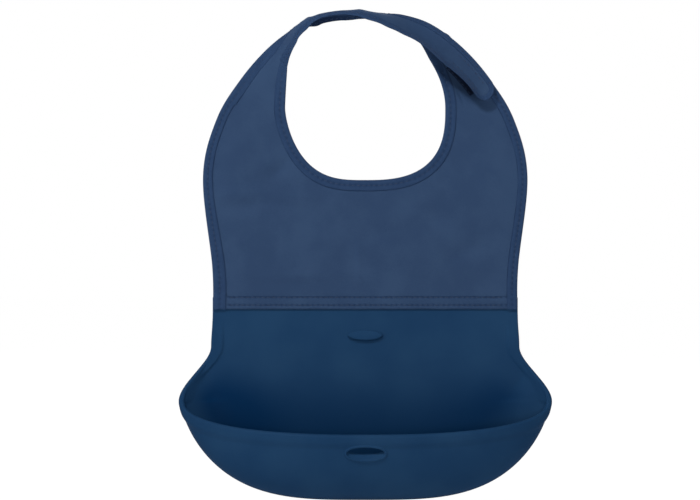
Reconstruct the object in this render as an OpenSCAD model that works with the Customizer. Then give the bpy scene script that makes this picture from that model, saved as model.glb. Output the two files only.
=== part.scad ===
// Baby bib: a coated cloth yoke with a neck strap, sewn to a moulded silicone pocket.
// Millimetres. X runs across, Z runs up, the front faces -Y.
// The origin is the middle of the neck opening, at mid-thickness of the cloth.

/* [Neck opening] */
// Width of the opening
neck_w = 104; // [96:1:112]
// Height from the widest line of the opening down to the neckline
neck_drop = 47; // [42:1:52]
// Height from the widest line of the opening up to the strap
neck_rise = 57; // [52:1:62]

/* [Cloth yoke] */
// Width at the hem
hem_w = 198; // [188:1:208]
// Width across the chest
chest_w = 211; // [201:1:221]
// Drop from the origin to the widest line of the chest
chest_drop = 50; // [42:1:58]
// Drop from the origin to the lower edge of the hem
yoke_drop = 136; // [126:1:146]
// Height of the hem that is sewn to the silicone
hem_h = 8.4; // [7:0.2:11]
// Thickness of the cloth
cloth_t = 0.8; // [0.6:0.1:1.2]
// Width of the edge binding
binding_w = 6.4; // [5:0.2:8]
// Thickness of one layer of binding
binding_t = 0.4; // [0.3:0.1:0.6]
// Gap where two moving pieces of cloth meet
fold_gap = 0.7; // [0.6:0.1:0.9]

/* [Neck strap] */
// Width of the strap
strap_w = 17.5; // [16:0.5:20]
// Width of the binding on the strap
strap_binding_w = 3.6; // [3:0.2:4.4]
// Steepest turn of the strap out of the plane of the yoke, in degrees
strap_turn = 97; // [92:1:100]
// Rise of the arch across the strap, behind the neck
strap_arch = 3.8; // [3:0.2:4.6]

/* [Hook and loop tape] */
// Length of both tapes
tape_l = 28; // [22:1:32]
// Width of the hook tape
hook_w = 8.4; // [7:0.2:9]
// Width of the loop tape
loop_w = 10; // [8:0.5:11]
// Thickness of each tape
tape_t = 0.8; // [0.6:0.1:1.2]
// Gap between the closed tapes
tape_gap = 0.8; // [0.8:0.1:1.2]

/* [Silicone pocket] */
// Width over both ears
pocket_w = 241; // [231:1:251]
// Drop from the origin to the bottom of the pocket
pocket_drop = 258; // [246:1:270]
// Drop from the origin to the widest line of the ears
ear_drop = 195; // [189:1:199]
// Drop from the origin to the start of the flare
flare_drop = 160; // [154:1:166]
// Drop from the origin to the front rim
rim_drop = 216; // [210:1:221]
// Depth of the pocket at the front rim
pocket_depth = 48; // [40:1:56]
// Wall thickness
wall_t = 1.8; // [1.4:0.1:2.4]
// Diameter of the rim bead
bead_d = 4.2; // [3.6:0.2:5]
// Radius between the back panel and the bottom
base_r = 20; // [16:1:24]
// Forward curl of the ears
ear_curl = 13; // [10:1:16]
// Width of the slot in the front wall
slot_w = 24; // [20:1:28]
// Height of the slot
slot_h = 7.6; // [6.4:0.2:9]
// Width of the raised ring round the slot
slot_ring = 1.6; // [1.2:0.2:2.4]
// Place of the slot on the front wall, from the bottom at 0 to the rim at 1
slot_place = 0.85; // [0.8:0.01:0.87]
// Drop from the origin to the middle of the button
button_drop = 153; // [149:1:157]
// Height of the button above the panel
button_t = 2.2; // [1.6:0.2:3]
// Clearance round the button when it sits in the slot
button_clear = 0.6; // [0.4:0.1:1]

/* [Stitching] */
// Length of one stitch
stitch_l = 2.3; // [1.8:0.1:2.8]
// Distance from one stitch to the next
stitch_pitch = 3.4; // [3.2:0.1:4]
// Thickness of the thread
thread_d = 0.45; // [0.3:0.05:0.6]

/* [Hidden] */

cloth_blue = [0.18, 0.26, 0.38];
thread_blue = [0.24, 0.32, 0.45];
silicone_blue = [0.12, 0.22, 0.34];
tape_blue = [0.14, 0.2, 0.3];

// Clearance between sewn layers that follow a curve
sew_gap = 0.05;
// Clearance between the edge of the strap cloth and the inside of its binding
strap_edge_gap = 0.3;
// Clearance between the faces of the strap cloth and its binding, which bend in small steps
strap_face_gap = 0.1;
// Clearance between the strap and its stitches, which are straight where the strap twists
twist_gap = 0.3;

// Heights that several pieces share
neck_mid_z = (neck_drop - neck_rise) / 2;
neck_top_z = neck_mid_z + neck_rise;
fold_z = hem_h - yoke_drop;
panel_low_z = fold_z + fold_gap / 2;
hem_top_z = fold_z - fold_gap / 2;

// Faces across the thickness, front to back
cloth_front = -cloth_t / 2;
cloth_back = cloth_t / 2;
bound_front = cloth_front - binding_t;
bound_back = cloth_back + binding_t;
panel_back = cloth_back + wall_t;

function mix(a, b, k) = a + (b - a) * k;
function clamp01(k) = min(1, max(0, k));
function ease(k) = let (c = clamp01(k)) c * c * (3 - 2 * c);
function unit(v) = v / norm(v);
function reversed(list) = [for (i = [len(list) - 1:-1:0]) list[i]];
function mirrored(list) = [for (p = list) [-p[0], p[1]]];
// Signed power that turns a circle into a rounded box
function rounded(v, n) = sign(v) * pow(abs(v), 2 / n);

// Smooth curve through the points, each span cut into n parts
function spline_at(p, i, k) =
  let (
    a = p[max(i - 1, 0)],
    b = p[i],
    c = p[i + 1],
    d = p[min(i + 2, len(p) - 1)])
  b + (c - a) * k / 2 + (a * 2 - b * 5 + c * 4 - d) * k * k / 2
    + (b * 3 - a - c * 3 + d) * k * k * k / 2;
function spline(p, n) =
  [for (i = [0:len(p) - 2], j = [0:n - 1]) spline_at(p, i, j / n), p[len(p) - 1]];

function tangent(c, i) = unit(c[min(i + 1, len(c) - 1)] - c[max(i - 1, 0)]);
// Curve moved to the right of its direction
function shifted(c, d) =
  [for (i = [0:len(c) - 1]) let (t = tangent(c, i)) c[i] + d * [t[1], -t[0]]];
function runs(c, i = 0, total = 0) =
  i == len(c) - 1 ? [total] : concat([total], runs(c, i + 1, total + norm(c[i + 1] - c[i])));
// Point and direction at a distance along a curve
function along(c, r, s, i = 0) =
  i >= len(c) - 2 || r[i + 1] >= s
    ? let (k = (s - r[i]) / (r[i + 1] - r[i]))
      [mix(c[i], c[i + 1], k), unit(mix(tangent(c, i), tangent(c, i + 1), k))]
    : along(c, r, s, i + 1);

// Roundness of the neck edge, across and up, on its four quarters from the top left round the neckline
neck_round = [[3.5, 3.5], [3.1, 1.6], [2.75, 2.75], [1.85, 1.85]];
// Neck edge at an angle: 180 is the left side, 270 the neckline, 360 the right side
function neck_at(a) =
  let (n = neck_round[floor(a / 90) - 1])
  [neck_w / 2 * rounded(cos(a), n[0]),
   neck_mid_z + (sin(a) > 0 ? neck_rise : neck_drop) * rounded(sin(a), n[1])];

// Outer edge of the right half, from the hem up to the shoulder, by offsets from the sizes above
waist = [0.5, 28];
armpit = [-8.8, -64.6];
shoulder = [[28.6, -38], [11, -18], [-8.8, -3.2]];
side_edge = concat(
  [[hem_w / 2, -yoke_drop],
   [hem_w / 2, -yoke_drop] + waist,
   [chest_w / 2, -chest_drop],
   [chest_w / 2, neck_top_z] + armpit],
  [for (p = shoulder) [neck_w / 2, neck_top_z] + p]);
// Edge over the top of the opening
crown = [for (p = [[25, 2.9], [-5, 2.5], [-29, 0.5]]) [0, neck_top_z] + p];
// The whole outer loop, from the left hem corner over the strap to the right hem corner
edge_steps = 8;
loop_points = concat(mirrored(side_edge), reversed(crown), reversed(side_edge));
loop_line = spline(loop_points, edge_steps);
side_count = len(side_edge);
loop_last = len(loop_line) - 1;

// The left arm ends and the strap starts at this point of the outer loop
cut_index = (side_count - 2) * edge_steps;
cut_out = loop_line[cut_index];
cut_along = tangent(loop_line, cut_index);
cut_dir = [cut_along[1], -cut_along[0]];
// The edges of the arm are drawn past the cut and trimmed there
cut_over = 3;
cut_angle = 138;

// The right arm ends in a rounded tip under the strap
tip_angle = 360 + 37;
tip_in = neck_at(tip_angle);
tip_index = loop_last - cut_index - cut_over;
tip_out = loop_line[tip_index];
tip_mid = (tip_in + tip_out) / 2;
tip_steps = 10;
tip_arc = [for (i = [1:tip_steps - 1])
  let (a = 180 * i / tip_steps, v = tip_in - tip_mid)
  tip_mid + v * cos(a) + [-v[1], v[0]] * -sin(a)];

neck_steps = 56;
neck_line = concat(
  [for (i = [0:neck_steps]) neck_at(mix(cut_angle, tip_angle, i / neck_steps))],
  tip_arc, [tip_out]);
left_line = [for (i = [0:cut_index + cut_over]) loop_line[i]];
right_line = [for (i = [tip_index:loop_last]) loop_line[i]];

// Prism between two depths of an outline that is drawn in X and Z
module slab(front, back) {
  translate([0, back, 0]) rotate([90, 0, 0]) linear_extrude(back - front) children();
}

// Region above the fold line
module above_fold() {
  polygon([[-chest_w, panel_low_z], [chest_w, panel_low_z], [chest_w, chest_w], [-chest_w, chest_w]]);
}

// Region past the cut across the left arm
module past_cut() {
  near = cut_out - cut_along * fold_gap / 2 - cut_dir * strap_w;
  far = near + cut_dir * 3 * strap_w;
  polygon([near, far, far + cut_along * 2 * strap_w, near + cut_along * 2 * strap_w]);
}

// Strip along an edge, between two distances from it
module edge_strip(line, from, to) {
  polygon(concat(shifted(line, from), reversed(shifted(line, to))));
}

// Folded binding round the edge of the panel
module binding(line) {
  difference() {
    slab(bound_front, bound_back) edge_strip(line, 0, binding_w);
    slab(cloth_front, cloth_back) edge_strip(line, binding_t, 2 * binding_w);
  }
}

// Row of stitches on the front of a flat piece
module stitch_row(line, front, before, after) {
  r = runs(line);
  length = r[len(r) - 1] - before - after;
  count = floor(length / stitch_pitch);
  for (i = [0:count - 1]) {
    at = along(line, r, before + length * (i + 0.5) / count);
    translate([at[0][0], front - thread_d, at[0][1]])
      rotate([0, -atan2(at[1][1], at[1][0]), 0])
      translate([-stitch_l / 2, 0, -thread_d / 2])
      cube([stitch_l, thread_d, thread_d]);
  }
}

module yoke_panel() {
  edge = concat(
    shifted(left_line, binding_t), shifted(neck_line, binding_t), shifted(right_line, binding_t));
  color(cloth_blue) slab(cloth_front, cloth_back) difference() {
    intersection() {
      polygon(edge);
      above_fold();
    }
    past_cut();
  }
}

module neck_binding() {
  color(cloth_blue) difference() {
    binding(neck_line);
    slab(2 * bound_front, 2 * bound_back) past_cut();
  }
}

module left_edge_binding() {
  color(cloth_blue) difference() {
    intersection() {
      binding(left_line);
      slab(bound_front, bound_back) above_fold();
    }
    slab(2 * bound_front, 2 * bound_back) past_cut();
  }
}

module right_edge_binding() {
  color(cloth_blue) intersection() {
    binding(right_line);
    slab(bound_front, bound_back) above_fold();
  }
}

module bottom_hem() {
  w = hem_w - 2 * binding_t;
  color(cloth_blue) translate([-w / 2, bound_front, -yoke_drop])
    cube([w, cloth_back - bound_front, hem_top_z + yoke_drop]);
}

module hem_end_bindings() {
  color(cloth_blue) for (side = [0, 1]) mirror([side, 0, 0]) {
    difference() {
      translate([hem_w / 2 - binding_w, bound_front - binding_t, -yoke_drop])
        cube([binding_w, cloth_back - bound_front + binding_t, hem_top_z + yoke_drop]);
      translate([-binding_t, bound_front, -yoke_drop - binding_t])
        cube([hem_w / 2, hem_w, hem_h + 2 * binding_t]);
    }
  }
}

// Strap: it runs along the outer loop, and its inner edge turns to the front
strap_over = 3;
strap_end_index = loop_last - (side_count - 3) * edge_steps + strap_over;
strap_line = [for (i = [cut_index:strap_end_index]) loop_line[i]];
strap_runs = runs(strap_line);
strap_l = strap_runs[len(strap_runs) - 1];
strap_start = fold_gap / 2;
strap_steps = 52;
// The tip is round, with its middle here
tip_r = strap_w / 2;
tip_s = strap_l - tip_r;
// The tapes lie under the flat end of the strap
tape_end = tip_s;
tape_start = tape_end - tape_l;
tape_steps = 12;
// Share of the full turn from the start of the strap to the tapes
turn_keys = [0, 0.55, 0.74, 0.97, 1, 0.85, 0.58, 0.44, 0.3, 0.12, 0];
function turn_at(s) =
  let (n = len(turn_keys) - 1, k = clamp01(s / tape_start) * n, i = min(floor(k), n - 1))
  strap_turn * clamp01(spline_at(turn_keys, i, k - i));
// The end lies on the closed tapes over the right arm
strap_stack = cloth_t + tape_gap + 2 * tape_t;
function strap_front(s) = -strap_stack * ease(2 * s / tape_start - 1);

// Past the upright the strap sinks, so that its higher edge stays on the outer loop; soft round the upright
upright_soft = 0.08;
function sunk(turn) = (sqrt(pow(cos(turn), 2) + pow(upright_soft, 2)) - cos(turn)) / 2;

// Frame of the strap at a distance: middle, direction across to the outer edge, direction to the back
function strap_frame(s) =
  let (
    at = along(strap_line, strap_runs, s),
    turn = turn_at(s),
    out = [-at[1][1], 0, at[1][0]],
    across = out * cos(turn) + [0, 1, 0] * sin(turn),
    back = [0, 1, 0] * cos(turn) - out * sin(turn),
    edge = [at[0][0], strap_front(s), at[0][1]] - out * strap_w * sunk(turn))
  [edge - across * strap_w / 2, across, back];
// The arch grows and goes flat again at these shares of the way to the tapes
arch_span = [0.32, 0.5, 0.8];
function arch_at(s) =
  let (k = s / tape_start)
  strap_arch * ease(k / arch_span[0]) * ease((arch_span[2] - k) / (arch_span[2] - arch_span[1]));
function on_strap(s, across, back) =
  let (f = strap_frame(s), bow = arch_at(s) * (1 - pow(across / tip_r, 2)))
  f[0] + f[1] * across + f[2] * (back - bow);

function stops(from, to, n) = [for (i = [0:n]) mix(from, to, i / n)];

// Prism through rings, each a closed outline of points; cross turns the diagonal of each side
module swept(rings, cross = false) {
  n = len(rings[0]);
  m = len(rings);
  points = [for (r = rings, p = r) p];
  sides = [for (i = [0:m - 2], j = [0:n - 1], half = [0, 1])
    let (a = i * n + j, b = i * n + (j + 1) % n)
    cross
      ? (half == 0 ? [a, b, a + n] : [b, b + n, a + n])
      : (half == 0 ? [a, b, b + n] : [a, b + n, a + n])];
  polyhedron(points, concat(
    sides, [[for (j = [n - 1:-1:0]) j], [for (j = [0:n - 1]) (m - 1) * n + j]]));
}

// Flat outline on the strap through distances across, between two depths
function strap_ring(s, xs, y0, y1) =
  concat([for (x = xs) on_strap(s, x, y0)], [for (x = reversed(xs)) on_strap(s, x, y1)]);

module neck_strap() {
  r = tip_r - binding_t - strap_edge_gap;
  free = (tip_r - strap_binding_w) / r;
  tip_stops = [for (a = [15:15:75]) [tip_s + r * sin(a), r * cos(a)]];
  straight = [for (s = stops(strap_start, tip_s, strap_steps)) [s, r]];
  color(cloth_blue) swept([for (p = concat(straight, tip_stops))
    strap_ring(p[0], p[1] * [-1, -free, -free / 2, 0, free / 2, free, 1], cloth_front, cloth_back)]);
}

// Edge of the strap, out along the outer side, round the tip and back: place, then inward direction
tip_turn_steps = 10;
strap_edge = concat(
  [for (s = stops(strap_start, tip_s, strap_steps)) [s, tip_r, 0, -1]],
  [for (i = [1:tip_turn_steps - 1])
    let (a = 90 - 180 * i / tip_turn_steps)
    [tip_s + tip_r * cos(a), tip_r * sin(a), -cos(a), -sin(a)]],
  [for (s = stops(tip_s, strap_start, strap_steps)) [s, -tip_r, 0, 1]]);

module strap_binding() {
  f = cloth_front - strap_face_gap;
  b = cloth_back + strap_face_gap;
  // Folded strip as [distance from the edge, depth]
  fold = [
    [0, f - binding_t], [0, b + binding_t], [strap_binding_w, b + binding_t], [strap_binding_w, b],
    [binding_t, b], [binding_t, f], [strap_binding_w, f], [strap_binding_w, f - binding_t]];
  color(cloth_blue) swept([for (e = strap_edge)
    [for (p = fold) on_strap(e[0] + e[2] * p[0], e[1] + e[3] * p[0], p[1])]], true);
}

module hook_tape() {
  back = cloth_back + sew_gap;
  color(tape_blue) swept([for (s = stops(tape_start, tape_end, tape_steps))
    strap_ring(s, [-hook_w / 2, hook_w / 2], back, back + tape_t - sew_gap)]);
}

// Line on the right arm at a distance inside its outer edge, next to the tapes
function arm_line(d) =
  [for (s = stops(tape_start, tape_end, tape_steps))
    let (at = along(strap_line, strap_runs, s))
    at[0] + d * [at[1][1], -at[1][0]]];
loop_near = binding_w + sew_gap;

module loop_tape() {
  color(tape_blue) slab(cloth_front - tape_t, cloth_front)
    polygon(concat(arm_line(loop_near), reversed(arm_line(loop_near + loop_w))));
}

// Stitches on the front of the strap, at a distance from its middle
module strap_row(from, to, offset, front) {
  count = floor((to - from) / stitch_pitch);
  for (i = [0:count - 1]) {
    s = mix(from, to, (i + 0.5) / count);
    ends = [for (d = [-0.5, 0.5]) on_strap(s + d * stitch_l, offset, front)];
    forward = unit(ends[1] - ends[0]);
    back = unit(cross(strap_frame(s)[1], forward));
    across = cross(forward, back);
    m = (ends[0] + ends[1]) / 2 - back * thread_d;
    multmatrix([
      [forward[0], back[0], across[0], m[0]],
      [forward[1], back[1], across[1], m[1]],
      [forward[2], back[2], across[2], m[2]],
      [0, 0, 0, 1]])
      translate([-stitch_l / 2, 0, -thread_d / 2])
      cube([stitch_l, thread_d, thread_d]);
  }
}

module strap_stitching() {
  offset = (strap_w - strap_binding_w) / 2;
  front = cloth_front - strap_face_gap - binding_t - twist_gap;
  color(thread_blue) for (side = [-1, 1])
    strap_row(strap_start + stitch_l, tape_end, side * offset, front);
}

module hook_tape_stitching() {
  offset = hook_w / 2 - 2 * thread_d;
  color(thread_blue) for (side = [-1, 1])
    strap_row(tape_start + thread_d, tape_end - thread_d, side * offset, cloth_front - twist_gap);
}

module loop_tape_stitching() {
  color(thread_blue) for (d = [loop_near + 2 * thread_d, loop_near + loop_w - 2 * thread_d])
    stitch_row(arm_line(d), cloth_front - tape_t, thread_d, thread_d);
}

// Rows along the edges start clear of the cut and of the hem
cut_margin = runs(left_line)[cut_index + cut_over] - runs(left_line)[cut_index] + stitch_l;
neck_row = shifted(neck_line, binding_w / 2);
neck_trimmed = [for (p = neck_row) if (p[0] < 0 && (p - cut_out) * cut_along > -fold_gap) p];
neck_margin = runs(neck_row)[len(neck_trimmed)] + stitch_l;

module neck_stitching() {
  color(thread_blue) stitch_row(neck_row, bound_front, neck_margin, stitch_l);
}

module left_edge_stitching() {
  color(thread_blue)
    stitch_row(shifted(left_line, binding_w / 2), bound_front, hem_h + stitch_l, cut_margin);
}

module right_edge_stitching() {
  color(thread_blue)
    stitch_row(shifted(right_line, binding_w / 2), bound_front, stitch_l, hem_h + stitch_l);
}

function hem_line(z) = [[-hem_w / 2 + binding_w, z], [hem_w / 2 - binding_w, z]];

module hem_top_stitching() {
  color(thread_blue) stitch_row(hem_line(hem_top_z - 2 * thread_d), bound_front, thread_d, thread_d);
}

module hem_seam_stitching() {
  color(thread_blue) stitch_row(hem_line(-yoke_drop + hem_h / 3), bound_front, thread_d, thread_d);
}

// Silicone moulding: a skin that runs down the back, round the bottom and up to the rim
pocket_half = (pocket_w - bead_d + wall_t) / 2;
flange_top_z = hem_top_z - thread_d;
// Roundness of the outline's sides and of its flat bottom, and of the rim
keel_round = [3.4, 1.5];
rim_round = 2.5;
// How the rim sweeps from beside the ears to the front
sweep_round = 2.25;
rim_sweep = 0.75;
// Fullness of the front wall, seen from the front and from the side
front_pull = 0.45;
side_pull = [0.5, 0.92];
// Share of the bead's size that the edge has beside the hem
bead_least = 0.1;
cols = 40;
back_rows = 14;
front_rows = 9;
rows = back_rows + front_rows;

function flare(z) = ease((-flare_drop - z) / (ear_drop - flare_drop));
// Share of a fall that is left at t, from 1 at the middle to 0 at the ends
function fallen(t, n, power) = pow(max(0, 1 - pow(min(1, abs(t)), n)), power);
// Lowest line of the pocket seen from the front, at t from -1 to 1, inset by e
function keel(t, e) = [
  (pocket_half - e) * t,
  -ear_drop - (pocket_drop - ear_drop - e) * fallen(t, keel_round[0], 1 / keel_round[1])];
function rim(t, e) = [
  (pocket_half - e) * t,
  -ear_drop - (rim_drop - ear_drop) * fallen(t, rim_round, 1 / rim_round)];
function corner_r(z, e) =
  z > -ear_drop
    ? (ear_curl - e) * flare(z)
    : mix(ear_curl, base_r, ease((-ear_drop - z) / (pocket_drop - ear_drop))) - e;
// Distance from the outline, measured inwards
function inward(p, e) =
  p[1] > -ear_drop
    ? mix(hem_w / 2, pocket_half - e, flare(p[1])) - abs(p[0])
    : let (
        reach = [pocket_half - e, pocket_drop - ear_drop - e],
        low = -ear_drop - p[1],
        d = [
          reach[0] * fallen(low / reach[1], keel_round[1], 1 / keel_round[0]) - abs(p[0]),
          reach[1] * fallen(p[0] / reach[0], keel_round[0], 1 / keel_round[1]) - low])
      min(d) <= 0 ? 0 : d[0] * d[1] / norm(d);
function curl(d, r) = d >= r ? 0 : r - sqrt(max(0, r * r - (r - max(d, 0)) * (r - max(d, 0))));

function back_point(t, v, e) =
  let (
    k = keel(t, e),
    z = mix(flange_top_z, k[1], v),
    b = ease((-flare_drop - z) / (-flare_drop - k[1])),
    p = [mix(t * hem_w / 2, k[0], b), z])
  [p[0], panel_back - e - curl(inward(p, e), corner_r(z, e)), p[1]];
function bezier(a, b, c, d, k) =
  a * pow(1 - k, 3) + 3 * b * k * pow(1 - k, 2) + 3 * c * k * k * (1 - k) + d * pow(k, 3);
function front_point(t, k, e) =
  let (
    low = keel(t, e),
    top = rim(t, e),
    y0 = panel_back - e - corner_r(low[1], e),
    y1 = panel_back - mix(ear_curl, pocket_depth - e, fallen(t, sweep_round, rim_sweep)),
    p = bezier(low, low, mix(low, top, front_pull), top, k),
    y = bezier(y0, mix(y0, y1, side_pull[0]), mix(y0, y1, side_pull[1]), y1, k))
  [p[0], y, p[1]];
// Rows bunch up towards the bottom, where the skin turns
function skin(t, j, e) =
  j <= back_rows
    ? back_point(t, 1 - pow(1 - j / back_rows, 2), e)
    : front_point(t, (j - back_rows) / front_rows, e);
function col_t(i) = sin(90 * (2 * i / cols - 1));

// Both skins share the numbering; the front rows of the end columns meet in the tips of the ears
skin_size = (cols + 1) * (rows + 1);
function at_skin(i, j) = i * (rows + 1) + (i == 0 || i == cols ? min(j, back_rows) : j);
// Free edge of the moulding: down the left side, along the rim, up the right side
free_edge = concat(
  [for (j = [0:back_rows]) [0, j]],
  [for (i = [1:cols - 1]) [i, rows]],
  [for (j = [back_rows:-1:0]) [cols, j]]);
bead_steps = 5;

module pocket_skin() {
  outer = [for (i = [0:cols], j = [0:rows]) skin(col_t(i), j, 0)];
  inner = [for (i = [0:cols], j = [0:rows]) skin(col_t(i), j, wall_t)];
  edge_out = [for (f = free_edge) outer[at_skin(f[0], f[1])]];
  edge_in = [for (f = free_edge) inner[at_skin(f[0], f[1])]];
  edge_mid = (edge_out + edge_in) / 2;
  n = len(free_edge);
  bead = [for (k = [0:n - 1])
    let (
      across = unit(edge_out[k] - edge_in[k]),
      ahead = unit(edge_mid[min(k + 1, n - 1)] - edge_mid[max(k - 1, 0)]),
      beyond = unit(cross(across, ahead)),
      grown = ease((-yoke_drop - edge_mid[k][2]) / (flare_drop - yoke_drop + bead_d)),
      full = mix(bead_least, 1, grown),
      half = norm(edge_out[k] - edge_in[k]) / 2,
      r = mix(half, bead_d / 2, full),
      // The back of the moulding stays flat, so there the bead stands out to the front only
      middle = edge_mid[k] - across * (r - half) * (1 - flare(edge_mid[k][2])))
    for (q = [1:bead_steps])
      let (a = 180 * q / (bead_steps + 1))
      middle + across * r * cos(a) + beyond * full * bead_d / 2 * sin(a)];
  quads_out = [for (i = [0:cols - 1], j = [0:rows - 1])
    [at_skin(i, j), at_skin(i + 1, j), at_skin(i + 1, j + 1), at_skin(i, j + 1)]];
  quads_in = [for (q = quads_out) [for (v = reversed(q)) v + skin_size]];
  function ring(k, q) =
    q == 0 ? at_skin(free_edge[k][0], free_edge[k][1])
    : q > bead_steps ? at_skin(free_edge[k][0], free_edge[k][1]) + skin_size
    : 2 * skin_size + k * bead_steps + q - 1;
  quads_bead = [for (k = [0:n - 2], q = [0:bead_steps])
    [ring(k, q), ring(k + 1, q), ring(k + 1, q + 1), ring(k, q + 1)]];
  quads_top = [for (i = [0:cols - 1])
    [at_skin(i + 1, 0), at_skin(i, 0), at_skin(i, 0) + skin_size, at_skin(i + 1, 0) + skin_size]];
  quads = concat(quads_out, quads_in, quads_bead, quads_top);
  faces = concat(
    [for (q = quads) if (q[0] != q[1] && q[1] != q[2]) [q[2], q[1], q[0]]],
    [for (q = quads) if (q[2] != q[3] && q[3] != q[0]) [q[3], q[2], q[0]]],
    [[for (q = [bead_steps + 1:-1:0]) ring(0, q)]],
    [[for (q = [0:bead_steps + 1]) ring(n - 1, q)]]);
  polyhedron(concat(outer, inner, bead), faces);
}

oval_round = 2.4;
module oval(w, h) {
  polygon([for (a = [0:10:350])
    [w / 2 * rounded(cos(a), oval_round), h / 2 * rounded(sin(a), oval_round)]]);
}

// Prism of an oval, standing out of the front wall at the slot
slot_probe = 0.02;
module at_slot(from, to) {
  low = front_point(0, slot_place - slot_probe, wall_t / 2);
  high = front_point(0, slot_place + slot_probe, wall_t / 2);
  lean = atan2(low[1] - high[1], high[2] - low[2]);
  translate((low + high) / 2) rotate([90 + lean, 0, 0])
    translate([0, 0, from]) linear_extrude(to - from) children();
}

module silicone_pocket() {
  color(silicone_blue) difference() {
    union() {
      pocket_skin();
      at_slot(-wall_t / 2, wall_t) oval(slot_w + 2 * slot_ring, slot_h + 2 * slot_ring);
      translate([0, cloth_back + wall_t / 2, -button_drop]) rotate([90, 0, 0])
        linear_extrude(button_t + wall_t / 2)
        oval(slot_w - 2 * button_clear, slot_h - 2 * button_clear);
    }
    at_slot(-2 * wall_t, 3 * wall_t) oval(slot_w, slot_h);
  }
}

silicone_pocket();
yoke_panel();
bottom_hem();
hem_end_bindings();
neck_binding();
left_edge_binding();
right_edge_binding();
neck_strap();
strap_binding();
hook_tape();
loop_tape();
neck_stitching();
left_edge_stitching();
right_edge_stitching();
hem_top_stitching();
hem_seam_stitching();
strap_stitching();
hook_tape_stitching();
loop_tape_stitching();
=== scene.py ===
import bisect
import math

import bmesh
import bpy
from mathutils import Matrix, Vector, noise


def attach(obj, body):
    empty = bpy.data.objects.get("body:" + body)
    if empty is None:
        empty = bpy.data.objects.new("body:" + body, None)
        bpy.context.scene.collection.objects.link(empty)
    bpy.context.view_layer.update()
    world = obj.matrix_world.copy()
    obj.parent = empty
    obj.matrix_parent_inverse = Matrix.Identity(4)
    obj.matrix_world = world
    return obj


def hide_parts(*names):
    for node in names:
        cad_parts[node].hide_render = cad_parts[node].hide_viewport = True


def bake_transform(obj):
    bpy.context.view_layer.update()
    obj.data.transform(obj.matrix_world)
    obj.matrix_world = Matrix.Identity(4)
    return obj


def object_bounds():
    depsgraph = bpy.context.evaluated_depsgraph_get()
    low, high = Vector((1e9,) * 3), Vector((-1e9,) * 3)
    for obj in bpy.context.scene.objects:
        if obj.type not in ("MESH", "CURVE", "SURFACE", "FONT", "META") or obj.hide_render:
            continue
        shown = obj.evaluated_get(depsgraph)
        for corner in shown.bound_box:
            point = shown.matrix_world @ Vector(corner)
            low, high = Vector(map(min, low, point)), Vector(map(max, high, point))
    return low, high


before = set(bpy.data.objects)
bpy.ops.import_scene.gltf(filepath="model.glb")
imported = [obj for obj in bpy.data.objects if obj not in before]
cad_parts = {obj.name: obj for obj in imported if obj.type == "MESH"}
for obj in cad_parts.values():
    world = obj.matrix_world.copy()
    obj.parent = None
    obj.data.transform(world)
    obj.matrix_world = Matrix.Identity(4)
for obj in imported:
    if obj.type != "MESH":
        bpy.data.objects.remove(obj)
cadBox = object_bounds()
scene = bpy.context.scene
mm = 0.001  # shapes are worked out in millimetres, in the frame of the CAD


# Numbers and curves

def mix(a, b, k):
    return a + (b - a) * k


def clamp01(k):
    return min(1.0, max(0.0, k))


def ease(value, start, end):  # 0 up to the start, 1 from the end on, smooth between
    k = clamp01((value - start) / (end - start))
    return k * k * (3 - 2 * k)


def signedPower(v, p):
    return math.copysign(abs(v) ** p, v)


def splineAt(points, i, k):  # smooth curve through the points, span i
    a = points[max(i - 1, 0)]
    b = points[i]
    c = points[i + 1]
    d = points[min(i + 2, len(points) - 1)]
    return (b + (c - a) * (k / 2) + (a * 2 - b * 5 + c * 4 - d) * (k * k / 2)
            + (b * 3 - a - c * 3 + d) * (k ** 3 / 2))


def spline(points, steps):
    line = [splineAt(points, i, j / steps) for i in range(len(points) - 1) for j in range(steps)]
    return line + [points[-1]]


def stops(first, last, count):
    return [mix(first, last, i / count) for i in range(count + 1)]


class Line:  # a line through points, with distances along it
    def __init__(self, points, startSide=None):
        self.points = [Vector(p) for p in points]
        self.startSide = startSide
        self.runs = [0.0]
        for a, b in zip(self.points, self.points[1:]):
            self.runs.append(self.runs[-1] + (b - a).length)
        self.length = self.runs[-1]

    def at(self, s):
        i = min(max(bisect.bisect_right(self.runs, s) - 1, 0), len(self.points) - 2)
        k = (s - self.runs[i]) / (self.runs[i + 1] - self.runs[i])
        return mix(self.points[i], self.points[i + 1], k)

    def direction(self, s, reach=0.8):
        low = max(s - reach, 0)
        high = min(s + reach, self.length)
        return (self.at(high) - self.at(low)).normalized()

    def inside(self, s, d):  # d to the right of the direction
        t = self.direction(s)
        side = Vector((t.y, -t.x))
        if self.startSide:
            side = mix(self.startSide, side, ease(s, 0, 10)).normalized()
        return self.at(s) + side * d

    def even(self, step=0.5):
        count = max(2, round(self.length / step))
        return [self.at(s) for s in stops(0, self.length, count)]


# Meshes

def makeMesh(name, points, faces, finish, sharp=55, marks=None):
    mesh = bpy.data.meshes.new(name)
    mesh.from_pydata([Vector(p) * mm for p in points], [], faces)
    if marks:
        layer = mesh.attributes.new("mark", "FLOAT", "POINT")
        layer.data.foreach_set("value", marks)
    form = bmesh.new()
    form.from_mesh(mesh)
    bmesh.ops.remove_doubles(form, verts=form.verts, dist=2e-6)
    bmesh.ops.recalc_face_normals(form, faces=form.faces)
    form.to_mesh(mesh)
    form.free()
    mesh.shade_smooth()
    mesh.set_sharp_from_angle(angle=math.radians(sharp))
    mesh.materials.append(finish.material)
    piece = bpy.data.objects.new(name, mesh)
    scene.collection.objects.link(piece)
    return piece


def carried(piece, body, *nodes):
    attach(piece, body)
    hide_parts(*nodes)
    return piece


def bendAtHem(piece, *nodes):  # for pieces on the yoke and on the pocket below the fold: baked in place, attached to no body
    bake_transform(piece)
    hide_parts(*nodes)
    return piece


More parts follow.
